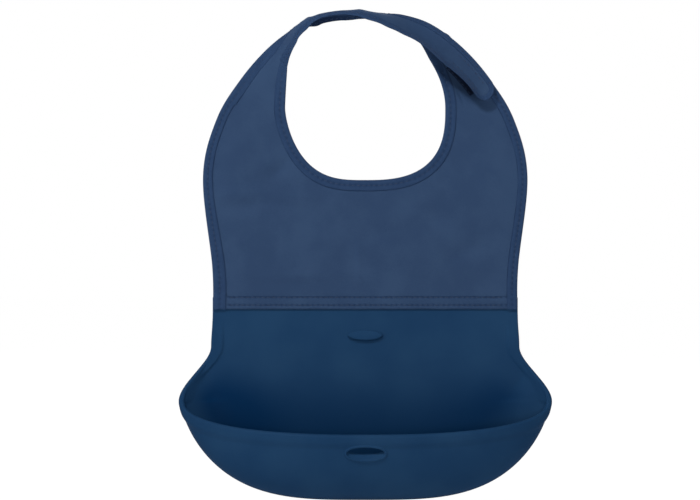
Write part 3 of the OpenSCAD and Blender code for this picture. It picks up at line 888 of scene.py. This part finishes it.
def tapeSpots(width, pitch):  # where the hooks or loops stand: number, place along, place across
    rows = math.floor((hookSpan[1] - hookSpan[0] - 1) / pitch[0])
    cols = math.floor((width - 2.6) / pitch[1])
    for i in range(rows):
        s = mix(hookSpan[0] + 0.8, hookSpan[1] - 0.8, i / (rows - 1))
        for j in range(cols):
            yield i + j, s, mix(-width / 2 + 1.5, width / 2 - 1.5, j / (cols - 1))


def hookTape():
    points, faces = [], []
    under = strap["thick"] / 2 + tape["seat"]
    top = under + tape["base"]
    tapeBase(points, faces, onStrap, tape["hookWidth"], under, top)
    for number, s, c in tapeSpots(tape["hookWidth"], tape["hookPitch"]):
        lean = tape["hookReach"] if number % 2 else -tape["hookReach"]
        path = []
        for a in stops(0, math.pi * 1.15, 6):  # stem that bends over into a hook
            reach = lean * (1 - math.cos(a))
            path.append(onStrap(s + reach, c, top - 0.05 + tape["height"] * math.sin(a * 0.8)))
        wireTube(points, faces, path, tape["wire"])
    carried(makeMesh("hookTape", points, faces, hookSkin), "strap", "hook_tape")


loopMiddle = binding["width"] + tape["loopWidth"] / 2 + 0.1  # inside the arm's outer edge


def onLoopTape(s, c, depth):  # on the right arm, next to the strap's end
    p = strapLine.inside(strapFrom + s, loopMiddle + c)
    return Vector((p.x, depth - creased(p.x, p.y), p.y))


def loopTape():
    points, faces = [], []
    under = -yoke["thick"] / 2 - tape["seat"]
    top = under - tape["base"]
    tapeBase(points, faces, onLoopTape, tape["loopWidth"], under, top)
    for _, s, c in tapeSpots(tape["loopWidth"], tape["loopPitch"]):
        turn = math.pi * noise.noise(Vector((s * 1.7, c * 1.9, 4.4)))
        path = []
        for a in stops(0, math.pi, 6):  # open arch of yarn
            reach = tape["loopReach"] * math.cos(a)
            path.append(onLoopTape(s + reach * math.cos(turn), c + reach * math.sin(turn),
                                   top + 0.05 - tape["height"] * math.sin(a)))
        wireTube(points, faces, path, tape["wire"])
    carried(makeMesh("loopTape", points, faces, loopSkin), "yoke", "loop_tape")


def hookTapeStitches():
    places = []
    for side in (-1, 1):
        c = side * (tape["hookWidth"] / 2 - tape["sewn"])
        places += strapRowPlaces(*hookSpan, c, strap["thick"] / 2, both=False)
    carried(stitchTubes("hookTapeStitches", places), "strap", "hook_tape_stitching")


def loopTapeStitches():
    places = []
    count = math.floor((hookSpan[1] - hookSpan[0]) / stitch["pitch"])
    for side in (-1, 1):
        c = side * (tape["loopWidth"] / 2 - tape["sewn"])
        for i in range(count):
            s = mix(*hookSpan, (i + 0.5) / count)
            t = strapLine.direction(strapFrom + s)
            middle = onLoopTape(s, c, -yoke["thick"] / 2 - tape["base"])
            places.append((middle, Vector((t.x, 0, t.y)), Vector((0, -1, 0))))
    carried(stitchTubes("loopTapeStitches", places), "yoke", "loop_tape_stitching")


# Silicone pocket: one skin down the back, round the bottom and up to the rim

pocket = dict(half=119.3, drop=258, ear=195, flare=160, rim=216, depth=48, wall=1.8, bead=4.2, base=20,
              earCurl=13, back=2.2, top=128.4, keelRound=(3.4, 1.5), rimRound=2.5, sweepRound=2.25,
              rimSweep=0.75, frontPull=0.45, sidePull=(0.5, 0.92), borderWidth=7.2, borderRise=0.75,
              borderSoft=1.3, beadReach=6.4, beadSoft=4.2, earReach=4.6, earSoft=2.6, earFade=8.5,
              curlStart=170)
slot = dict(width=24, height=7.6, ring=1.6, rise=1.1, place=0.85, round=2.1, lip=0.42,
            window=(17.5, 8.5, 7.4))  # what it takes up of the grid: across, down, up
button = dict(width=22.8, height=7.1, drop=153.6, rise=2.2, round=1.9, panelHalf=104,
              window=(17, 8))  # across, up and down
skinCols = 200
backRows = 76
frontRows = 56
skinRows = backRows + frontRows


def flare(z):
    return ease(z, -pocket["flare"], -pocket["ear"])


def fallen(s, n, power):  # share of a fall that is left at s, from 1 at the middle to 0 at the ends
    return max(0.0, 1 - min(1.0, abs(s)) ** n) ** power


def keelAt(s, e):
    side, foot = pocket["keelRound"]
    fall = (pocket["drop"] - pocket["ear"] - e) * fallen(s, side, 1 / foot)
    return Vector(((pocket["half"] - e) * s, -pocket["ear"] - fall))


def rimAt(s, e):
    fall = (pocket["rim"] - pocket["ear"]) * fallen(s, pocket["rimRound"], 1 / pocket["rimRound"])
    return Vector(((pocket["half"] - e) * s, -pocket["ear"] - fall))


def cornerRadius(z, e):
    if z > -pocket["ear"]:
        begun = ease(z, -pocket["curlStart"], -pocket["ear"])
        return (pocket["earCurl"] - e) * begun
    low = ease(z, -pocket["ear"], -pocket["drop"])
    return mix(pocket["earCurl"], pocket["base"], low) - e


def inward(x, z, e):  # distance from the outline seen from the front
    if z > -pocket["ear"]:
        return mix(yoke["hemWidth"] / 2, pocket["half"] - e, flare(z)) - abs(x)
    side, foot = pocket["keelRound"]
    reach = (pocket["half"] - e, pocket["drop"] - pocket["ear"] - e)
    low = -pocket["ear"] - z
    across = reach[0] * fallen(low / reach[1], foot, 1 / side) - abs(x)
    down = reach[1] * fallen(x / reach[0], side, 1 / foot) - low
    return across * down / math.hypot(across, down) if min(across, down) > 0 else 0.0


def curl(d, r):  # how far a round of radius r stands forward at d from the outline
    d = max(d, 0)
    return 0.0 if d >= r else r - math.sqrt(max(0, r * r - (r - d) ** 2))


def dish(d, r, z):  # the inside of the ears is filled out, so that it turns forward slowly
    reach = r * mix(2.4, 1.2, ease(-pocket["ear"] - z, 0, 30))
    return r * clamp01(1 - max(d, 0) / max(reach, 0.01)) ** 2


def backAt(s, v, e):
    k = keelAt(s, e)
    z = mix(-pocket["top"], k.y, v)
    b = ease(z, -pocket["flare"], k.y)
    x = s * mix(yoke["hemWidth"] / 2, pocket["half"] - e, b)
    d = inward(x, z, e)
    r = cornerRadius(z, e)
    bend = curl(d, r)
    if e > 0:
        bend = max(bend, dish(d, r, z))
    return Vector((x, pocket["back"] - e - bend, z))


def bezier(a, b, c, d, k):
    return a * (1 - k) ** 3 + b * (3 * k * (1 - k) ** 2) + c * (3 * k * k * (1 - k)) + d * k ** 3


def frontAt(s, k, e):
    low = keelAt(s, e)
    top = rimAt(s, e)
    y0 = pocket["back"] - e - cornerRadius(low.y, e)
    forward = fallen(s, pocket["sweepRound"], pocket["rimSweep"])
    y1 = pocket["back"] - mix(pocket["earCurl"], pocket["depth"] - e, forward)
    p = bezier(low, low, mix(low, top, pocket["frontPull"]), top, k)
    pull = pocket["sidePull"]
    return Vector((p.x, bezier(y0, mix(y0, y1, pull[0]), mix(y0, y1, pull[1]), y1, k), p.y))


def wallRun(s):  # length of the front wall from the keel to the rim
    return Line([frontAt(s, k, 0) for k in stops(0, 1, 12)]).length


def colShare(i):
    return math.sin(math.radians(90 * (2 * i / skinCols - 1)))


colRuns = [wallRun(colShare(i)) for i in range(skinCols + 1)]


def wallRunAt(s):
    i = (math.degrees(math.asin(max(-1, min(1, s)))) / 90 + 1) / 2 * skinCols
    low = min(int(i), skinCols - 1)
    return mix(colRuns[low], colRuns[low + 1], i - low)


def edgeDistance(s, v, k):  # way along the skin to the free edge
    if k is not None:
        return (1 - k) * wallRunAt(s)
    p = backAt(s, v, 0)
    below = max(0, -pocket["ear"] - p.z)
    return min(inward(p.x, p.z, 0) + below * 2, wallRunAt(s) + (1 - v) * (-pocket["top"] - keelAt(s, 0).y))


def skinAt(s, v, k, inner, rise=0.0):
    d = edgeDistance(s, v, k)
    swell = (pocket["bead"] - pocket["wall"]) / 2
    if k is None:
        z = backAt(s, v, 0).z
        full = flare(z)
        width = mix(pocket["borderWidth"], pocket["earReach"] if inner else pocket["beadReach"], full)
        soft = mix(pocket["borderSoft"], pocket["earSoft"] if inner else pocket["beadSoft"], full)
        faded = ease(z, -172, -188) if inner else 0  # towards the ears
    else:
        full, width, soft = 1.0, pocket["beadReach"], pocket["beadSoft"]
        faded = ease(abs(s), 0.75, 0.95) if inner else 0
    width, soft = mix(width, pocket["earFade"], faded), mix(soft, pocket["earFade"], faded)
    inside = ease(d, width, width - soft)
    if inner:
        begun = 1 if k is not None else ease(z, -141, -159)
        e = pocket["wall"] + mix(pocket["borderRise"] * begun, swell, full) * inside + rise
    else:
        e = -swell * full * inside - rise
    return backAt(s, v, e) if k is None else frontAt(s, k, e)


def rowPlace(j):  # share down the back, or share up the front
    if j <= backRows:
        return 1 - (1 - j / backRows) ** 1.8, None
    return 1.0, 1 - (1 - (j - backRows) / frontRows) ** 1.35


def skinIndex(i, j):
    return i * (skinRows + 1) + (min(j, backRows) if i in (0, skinCols) else j)


def oval(shape, angle, grow=0.0, lip=0.0):
    c, s = math.cos(angle), math.sin(angle)
    n = shape["round"]
    w = shape["width"] / 2 + grow
    h = shape["height"] / 2 + grow
    return Vector((w * signedPower(c, 2 / n), h * mix(signedPower(s, 2 / n), 1, lip)))


def patchLoop(left, right, low, high):  # border of a window of the grid, counter-clockwise
    loop = [(i, low) for i in range(left, right)]
    loop += [(right, j) for j in range(low, high)]
    loop += [(i, high) for i in range(right, left, -1)]
    return loop + [(left, j) for j in range(high, low, -1)]


def loopAngles(flat):  # direction of each point of a window, as if the window were round
    right, high, low = max(p.x for p in flat), max(p.y for p in flat), -min(p.y for p in flat)
    return [math.atan2(p.y / (high if p.y > 0 else low), p.x / right) for p in flat]


def siliconePocket():
    size = (skinCols + 1) * (skinRows + 1)
    points = []
    for inner in (False, True):
        for i in range(skinCols + 1):
            for j in range(skinRows + 1):
                points.append(skinAt(colShare(i), *rowPlace(j), inner))
    quads = []

    # Distances up the front wall at the middle, so that the slot keeps its shape on the slope
    wallSteps = 200
    runs = Line([frontAt(0, k, pocket["wall"] / 2) for k in stops(0, 1, wallSteps)]).runs

    def runOf(k):
        i = min(int(k * wallSteps), wallSteps - 1)
        return mix(runs[i], runs[i + 1], k * wallSteps - i)

    def kOf(run):
        i = min(max(bisect.bisect_right(runs, run) - 1, 0), wallSteps - 1)
        return (i + (run - runs[i]) / (runs[i + 1] - runs[i])) / wallSteps

    slotRun = runOf(slot["place"])

    def onWall(x, up, inner, rise=0.0):
        return skinAt(x / pocket["half"], 1.0, kOf(slotRun + up), inner, rise)

    def onPanel(x, up, rise=0.0):
        z = -button["drop"] + up
        s = x * 2 / yoke["hemWidth"]
        for _ in range(3):
            v = (z + pocket["top"]) / (keelAt(s, 0).y + pocket["top"])
            s *= x / backAt(s, v, 0).x if abs(x) > 1e-6 else 1
        return skinAt(s, v, None, True, rise)

    def nearestCol(x, half):
        return min(range(skinCols + 1), key=lambda i: abs(colShare(i) * half - x))

    # Windows of the grid that the slot and the button fill
    across, down, up = slot["window"]
    slotLeft = nearestCol(-across, pocket["half"])
    slotRight = skinCols - slotLeft
    wallRows = range(backRows + 1, skinRows + 1)
    slotLow = min(wallRows, key=lambda j: abs(runOf(rowPlace(j)[1]) - slotRun + down))
    slotHigh = min(wallRows, key=lambda j: abs(runOf(rowPlace(j)[1]) - slotRun - up))
    across, tall = button["window"]
    buttonLeft = nearestCol(-across, button["panelHalf"])
    buttonRight = skinCols - buttonLeft
    panelRows = range(1, backRows)
    middleZ = [skinAt(0, *rowPlace(j), True).z for j in range(backRows + 1)]
    buttonHigh = min(panelRows, key=lambda j: abs(middleZ[j] + button["drop"] - tall))
    buttonLow = min(panelRows, key=lambda j: abs(middleZ[j] + button["drop"] + tall))

    for i in range(skinCols):
        for j in range(skinRows):
            quad = [skinIndex(i, j), skinIndex(i + 1, j), skinIndex(i + 1, j + 1), skinIndex(i, j + 1)]
            quad = list(dict.fromkeys(quad))
            if len(quad) < 3:
                continue
            inSlot = slotLeft <= i < slotRight and slotLow <= j < slotHigh
            inButton = buttonLeft <= i < buttonRight and buttonHigh <= j < buttonLow
            if not inSlot:
                quads.append(tuple(quad))
            if not inSlot and not inButton:
                quads.append(tuple(n + size for n in reversed(quad)))

    def addLoops(start, loops):  # bands between loops with the same number of points
        before = start
        for loop in loops:
            first = len(points)
            points.extend(loop)
            now = list(range(first, first + len(loop)))
            for n in range(len(now)):
                m = (n + 1) % len(now)
                quads.append((before[n], before[m], now[m], now[n]))
            before = now
        return before

    # Slot: a raised round lip, then the hole, whose lower side slopes inwards
    border = patchLoop(slotLeft, slotRight, slotLow, slotHigh)
    flat = [Vector((colShare(i) * pocket["half"], runOf(rowPlace(j)[1]) - slotRun)) for i, j in border]
    angles = loopAngles(flat)

    def wallLoop(grow, rise, inner, share=0.0, lip=0.0):
        loop = []
        for p, a in zip(flat, angles):
            q = mix(oval(slot, a, grow, lip), p, share)
            lean = 1 - 0.4 * clamp01(math.sin(a)) if rise > 0 else 1  # lower along the top
            loop.append(onWall(q.x, q.y, inner, rise * lean))
        return loop

    ring = slot["ring"]
    outside = [wallLoop(ring + 0.4, 0, False, 0.6), wallLoop(ring + 0.4, 0, False, 0.3)]
    lipShape = [(ring + 0.5, 0), (ring + 0.1, 0.1), (ring - 0.15, 0.45), (ring - 0.45, 0.8),
                (ring * 0.55, 1), (ring * 0.3, 0.92), (ring * 0.12, 0.6), (0.02, 0.1)]
    outside += [wallLoop(grow, rise * slot["rise"], False) for grow, rise in lipShape]
    hole = []
    for depth in (0.25, 0.6, 1.0):
        lip = slot["lip"] * depth ** 0.7
        hole.append(wallLoop(-0.25 * depth, -depth * pocket["wall"] * 0.94, False, lip=lip))
    inside = [wallLoop(-0.1, 0, True, lip=slot["lip"]), wallLoop(0.6, 0, True), wallLoop(2.0, 0, True),
              wallLoop(2.0, 0, True, 0.5)]
    last = addLoops([skinIndex(i, j) for i, j in border], outside + hole + inside)
    for n in range(len(border)):
        m = (n + 1) % len(border)
        quads.append((last[n], last[m], skinIndex(*border[m]) + size, skinIndex(*border[n]) + size))

    # Button: a plain raised oval on the panel, steepest along its lower side
    border = patchLoop(buttonLeft, buttonRight, buttonHigh, buttonLow)
    flat = []
    for i, j in border:
        p = points[skinIndex(i, j) + size]
        flat.append(Vector((p.x, p.z + button["drop"])))
    angles = loopAngles(flat)

    def panelLoop(grow, rise, share=0.0, shrink=1.0):
        loop = []
        for p, a in zip(flat, angles):
            q = mix(oval(button, a, grow) * shrink, p, share)
            lean = 0.82 - 0.18 * math.sin(a) * shrink
            loop.append(onPanel(q.x, q.y, rise * lean))
        return loop

    raised = [panelLoop(1.4, 0, 0.5), panelLoop(1.4, 0, 0.2)]
    sideShape = [(0.9, 0), (0.35, 0.06), (0.05, 0.25), (-0.05, 0.55), (-0.15, 0.78), (-0.4, 0.93),
                 (-0.8, 1.0)]
    raised += [panelLoop(grow, rise * button["rise"]) for grow, rise in sideShape]
    for shrink in (0.72, 0.5, 0.28, 0.1):
        raised.append(panelLoop(-0.8, (1 + 0.1 * (1 - shrink)) * button["rise"], 0, shrink))
    last = addLoops([skinIndex(i, j) + size for i, j in border], raised)
    quads.append(tuple(last))

    # Round the free edge: down the left side, along the rim, up the right side
    edge = [(0, j) for j in range(backRows + 1)] + [(i, skinRows) for i in range(1, skinCols)]
    edge += [(skinCols, j) for j in range(backRows, -1, -1)]
    outer = [points[skinIndex(i, j)] for i, j in edge]
    innerEdge = [points[skinIndex(i, j) + size] for i, j in edge]
    middle = [(a + b) / 2 for a, b in zip(outer, innerEdge)]
    turns = 8
    rings = []
    for n, (a, b) in enumerate(zip(outer, innerEdge)):
        ahead = (middle[min(n + 2, len(edge) - 1)] - middle[max(n - 2, 0)]).normalized()
        across = (a - b) / 2
        grown = ease(middle[n].z, -yoke["drop"], -pocket["flare"])
        beyond = across.cross(ahead).normalized() * across.length * mix(0.25, 1, grown)
        rings.append([middle[n] + across * math.cos(q) + beyond * math.sin(q)
                      for q in stops(0, math.pi, turns)[1:-1]])
    first = len(points)
    for ringPoints in rings:
        points += ringPoints

    def edgeIndex(n, q):
        if q == 0:
            return skinIndex(*edge[n])
        if q == turns:
            return skinIndex(*edge[n]) + size
        return first + n * (turns - 1) + q - 1

    for n in range(len(edge) - 1):
        for q in range(turns):
            a, b = edgeIndex(n, q), edgeIndex(n + 1, q)
            quads.append((a, b, edgeIndex(n + 1, q + 1), edgeIndex(n, q + 1)))
    for i in range(skinCols):  # the flange behind the hem
        a, b = skinIndex(i, 0), skinIndex(i + 1, 0)
        quads.append((b, a, a + size, b + size))
    for n in (0, len(edge) - 1):
        quads.append(tuple(edgeIndex(n, q) for q in range(turns + 1)))
    # painted shade on the inner skin of the pocket
    pocketShade = [pocketShadeShare(p) for p in points[size:2 * size]]
    marks = [0.0] * size + pocketShade + [0.0] * (len(points) - 2 * size)
    points, quads, marks = usedOnly(points, quads, marks)
    piece = makeMesh("siliconePocket", points, quads, siliconeSkin, sharp=75, marks=marks)
    carried(piece, "pocket", "silicone_pocket")


def pocketShadeShare(p):  # painted shade inside the pocket, most of all in its corners, and more on the left
    side = ease(abs(p.x) / pocket["half"], 0.3, 0.8)
    low = ease(-pocket["flare"] - p.z, 8, mix(56, 38, side))
    right = ease(p.x, -50, 50)
    away = ease(inward(p.x, p.z, pocket["wall"]), mix(4, 10, right), mix(18, 30, right))
    return clamp01(low * away * mix(0.72, mix(1.2, 0.95, right), side))


def usedOnly(points, faces, marks):  # drops the points that no face uses
    order = {}
    for face in faces:
        for n in face:
            order.setdefault(n, len(order))
    faces = [tuple(order[n] for n in face) for face in faces]
    return [points[n] for n in order], faces, [marks[n] for n in order]


# The pieces

siliconePocket()
print("pocket made")
chest = yokeCloth()
leftBinding = edgeBinding("leftBinding", leftLine, ["left_edge_binding", "hem_end_bindings"])
roundBinding = edgeBinding("roundBinding", roundLine,
                           ["neck_binding", "right_edge_binding", "hem_end_bindings"])
band = hemBand()
print("yoke made")

leftRow = stitchTubes("leftStitches", rowPlaces(leftLine, 3 * stitch["pitch"], 1))
roundRow = stitchTubes("roundStitches", rowPlaces(roundLine, stitch["pitch"], 9))
bendAtHem(leftRow, "left_edge_stitching")
bendAtHem(roundRow, "neck_stitching", "right_edge_stitching")
hemTopRow = hemRow("hemTopStitches", hem["rowTop"], "hem_top_stitching")
hemSeamRow = hemRow("hemSeamStitches", hem["rowSeam"], "hem_seam_stitching")

strapPiece = bendWithStrap(strapCloth(), "neck_strap")
strapTrim = bendWithStrap(strapBinding(), "strap_binding")
strapRow = bendWithStrap(strapStitches(), "strap_stitching")
hookTape()
loopTape()
hookTapeStitches()
loopTapeStitches()
print("strap and tapes made")


# Floor, light and camera

studio = dict(floorColour=(0.9, 0.9, 0.9), floorGap=0.0015, floorHalf=6, glow=1.13, shownGlow=0.64,
              litGlow=0.22, ambient=0.21, lampSize=0.5, photoWidth=0.455, distance=1.5, sensor=36.0)
white = (1, 1, 1, 1)
viewMiddle = Vector((-0.0099, 0, -0.0975))
partMiddle = (0, 0, -0.09)
lamps = [  # name, place, target, power, size
    ("key", (-0.3, -0.7, 0.7), partMiddle, 6.1, studio["lampSize"] / 3),
    ("left", (-1.2, -0.6, 0.1), partMiddle, 2.9, studio["lampSize"]),
    ("front", (0.4, -1.5, -0.23), (0, 0, -0.2), 7.0, studio["lampSize"]),
    ("rear", (0.5, 1.4, 0.7), partMiddle, 6.0, studio["lampSize"])]


def addFloor():
    low = cadBox[0][2] - studio["floorGap"]
    far = studio["floorHalf"]
    corners = [(-far, -far, low), (far, -far, low), (far, far, low), (-far, far, low)]
    mesh = bpy.data.meshes.new("floor")
    mesh.from_pydata(corners, [], [(0, 1, 2, 3)])
    floor = bpy.data.objects.new("floor", mesh)
    scene.collection.objects.link(floor)
    made = Finish("paleFloor", {
        "Base Color": (*studio["floorColour"], 1.0), "Roughness": 0.9, "Specular IOR Level": 0.0})
    share = made.seenBy("Camera") * studio["shownGlow"] + studio["litGlow"]
    glow = made.node("ShaderNodeEmission", {}, {"Color": white, "Strength": studio["glow"]})
    both = made.node("ShaderNodeMixShader", {}, {
        0: share, 1: Wire(made, made.shader.outputs[0]), 2: glow})
    made.feed(made.tree.nodes["Material Output"], {"Surface": both})
    mesh.materials.append(made.material)


def addWorld():  # dim on the part, white where it is seen or mirrored
    world = bpy.data.worlds.new("studio")
    world.use_nodes = True
    scene.world = world
    made = Nodes(world.node_tree)
    shown = made.node("ShaderNodeMath", {"operation": "ADD", "use_clamp": True}, {
        0: made.seenBy("Camera") + made.seenBy("Glossy"), 1: made.seenBy("Transmission")})
    room = made.tree.nodes["Background"]
    made.feed(room, {"Color": white, "Strength": studio["ambient"]})
    plain = made.node("ShaderNodeBackground", {}, {"Color": white, "Strength": 1.0})
    both = made.node("ShaderNodeMixShader", {}, {
        0: shown, 1: Wire(made, room.outputs[0]), 2: plain})
    made.feed(made.tree.nodes["World Output"], {"Surface": both})


def addLamp(name, place, target, power, size):
    data = bpy.data.lights.new(name, "AREA")
    data.shape = "DISK"
    data.size = size
    data.energy = power
    lamp = bpy.data.objects.new(name, data)
    lamp.location = place
    lamp.rotation_euler = (Vector(target) - Vector(place)).to_track_quat("-Z", "Y").to_euler()
    scene.collection.objects.link(lamp)


def addCamera():
    data = bpy.data.cameras.new("camera")
    data.sensor_width = studio["sensor"]
    data.lens = studio["sensor"] * studio["distance"] / studio["photoWidth"]
    camera = bpy.data.objects.new("camera", data)
    camera.location = viewMiddle - Vector((0, studio["distance"], 0))
    camera.rotation_euler = (math.pi / 2, 0, 0)
    scene.collection.objects.link(camera)
    scene.camera = camera


addFloor()
addWorld()
for lamp in lamps:
    addLamp(*lamp)
addCamera()
scene.view_settings.view_transform = "Standard"
print("stage made")
